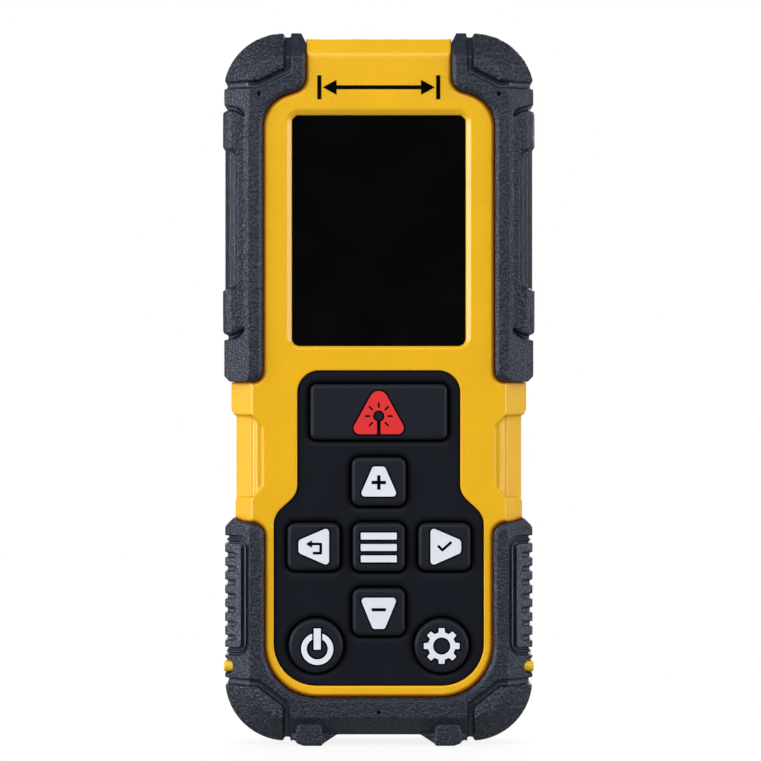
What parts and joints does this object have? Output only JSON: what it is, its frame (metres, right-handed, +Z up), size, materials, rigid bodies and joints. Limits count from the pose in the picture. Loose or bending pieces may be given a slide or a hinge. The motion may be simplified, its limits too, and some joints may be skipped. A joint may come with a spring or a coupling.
{
  "type": "laser distance meter",
  "caption": "Handheld laser distance meter: yellow shell with rubber corner guards, dark screen over a keypad with a wide measuring key, laser and lens in the top end.",
  "frame": {"origin": "on the surface the feet stand on, under the middle of the body", "axes": "+Z up the body, towards the laser outlet; -Y out of the screen and keys; +X to the right of the screen"},
  "size_m": [0.0546, 0.03, 0.125],
  "materials": {
    "yellow_shell": "fine satin texture",
    "bumper_rubber": "grained matt rubber",
    "key_rubber": "smooth matt silicone rubber",
    "window_plastic": "polished, dark tinted",
    "display_glass": "polished",
    "white_plastic": "diffuse",
    "black_plastic": "fine texture",
    "door_plastic": "fine spark-eroded texture",
    "flex_film": "polyimide film",
    "foam_rubber": "closed-cell foam",
    "gold": "plated",
    "brass": "turned",
    "steel": "zinc plated",
    "circuit_board": "solder mask",
    "lens_glass": "coated glass",
    "battery_can": "printed sleeve",
    "label_film": "satin film",
    "carbon": "conductive rubber",
    "white_print": "printed ink",
    "red_print": "printed ink"
  },
  "bodies": {
    "meter": {"front_housing": "yellow_shell", "rear_housing": "yellow_shell", "side_nubs": "yellow_shell", "housing_seal": "foam_rubber", "door_seal": "foam_rubber", "window_gasket": "foam_rubber", "upper_right_bumper": "bumper_rubber", "upper_left_bumper": "bumper_rubber", "lower_bumper": "bumper_rubber", "display_window": "window_plastic", "lcd_frame": "black_plastic", "lcd_panel": "display_glass", "lcd_backlight": "white_plastic", "lcd_flex_cable": "flex_film", "keypad_sheet": "key_rubber", "main_board": "circuit_board", "board_chips": "black_plastic", "beeper": "black_plastic", "board_screws": "steel", "housing_screws": "steel", "optics_plate": "black_plastic", "optics_chassis": "black_plastic", "receiver_lens": "lens_glass", "lens_ring": "black_plastic", "laser_barrel": "brass", "laser_lens": "lens_glass", "laser_diode": "gold", "laser_window": "lens_glass", "receiver_board": "circuit_board", "receiver_sensor": "black_plastic", "battery_tray": "black_plastic", "battery_left": "battery_can", "battery_right": "battery_can", "battery_contacts": "steel", "battery_springs": "steel", "tripod_insert": "brass", "rear_label": "label_film", "key_contacts": "gold"},
    "door": {"battery_door": "door_plastic", "door_foam": "foam_rubber"},
    "measure_key": {"key_measure": "key_rubber", "pill_measure": "carbon"},
    "plus_key": {"key_plus": "key_rubber", "pill_plus": "carbon"},
    "menu_key": {"key_menu": "key_rubber", "pill_menu": "carbon"},
    "minus_key": {"key_minus": "key_rubber", "pill_minus": "carbon"},
    "back_key": {"key_back": "key_rubber", "pill_back": "carbon"},
    "ok_key": {"key_ok": "key_rubber", "pill_ok": "carbon"},
    "power_key": {"key_power": "key_rubber", "pill_power": "carbon"},
    "settings_key": {"key_settings": "key_rubber", "pill_settings": "carbon"}
  },
  "joints": [
    {"name": "measure_press", "type": "slide", "parent": "meter", "child": "measure_key", "axis": [0, 1, 0], "range_m": [0, 0.0007], "stiffness_N_per_m": 1200, "springref_m": -0.0004},
    {"name": "plus_press", "type": "slide", "parent": "meter", "child": "plus_key", "axis": [0, 1, 0], "range_m": [0, 0.0007], "stiffness_N_per_m": 1200, "springref_m": -0.0004},
    {"name": "menu_press", "type": "slide", "parent": "meter", "child": "menu_key", "axis": [0, 1, 0], "range_m": [0, 0.0007], "stiffness_N_per_m": 1200, "springref_m": -0.0004},
    {"name": "minus_press", "type": "slide", "parent": "meter", "child": "minus_key", "axis": [0, 1, 0], "range_m": [0, 0.0007], "stiffness_N_per_m": 1200, "springref_m": -0.0004},
    {"name": "back_press", "type": "slide", "parent": "meter", "child": "back_key", "axis": [0, 1, 0], "range_m": [0, 0.0007], "stiffness_N_per_m": 1200, "springref_m": -0.0004},
    {"name": "ok_press", "type": "slide", "parent": "meter", "child": "ok_key", "axis": [0, 1, 0], "range_m": [0, 0.0007], "stiffness_N_per_m": 1200, "springref_m": -0.0004},
    {"name": "power_press", "type": "slide", "parent": "meter", "child": "power_key", "axis": [0, 1, 0], "range_m": [0, 0.0007], "stiffness_N_per_m": 1200, "springref_m": -0.0004},
    {"name": "settings_press", "type": "slide", "parent": "meter", "child": "settings_key", "axis": [0, 1, 0], "range_m": [0, 0.0007], "stiffness_N_per_m": 1200, "springref_m": -0.0004},
    {"name": "battery_door_hinge", "type": "hinge", "parent": "meter", "child": "door", "pos_m": [0, 0.01305, 0.0107], "axis": [-1, 0, 0], "range_deg": [0, 90]}
  ]
}
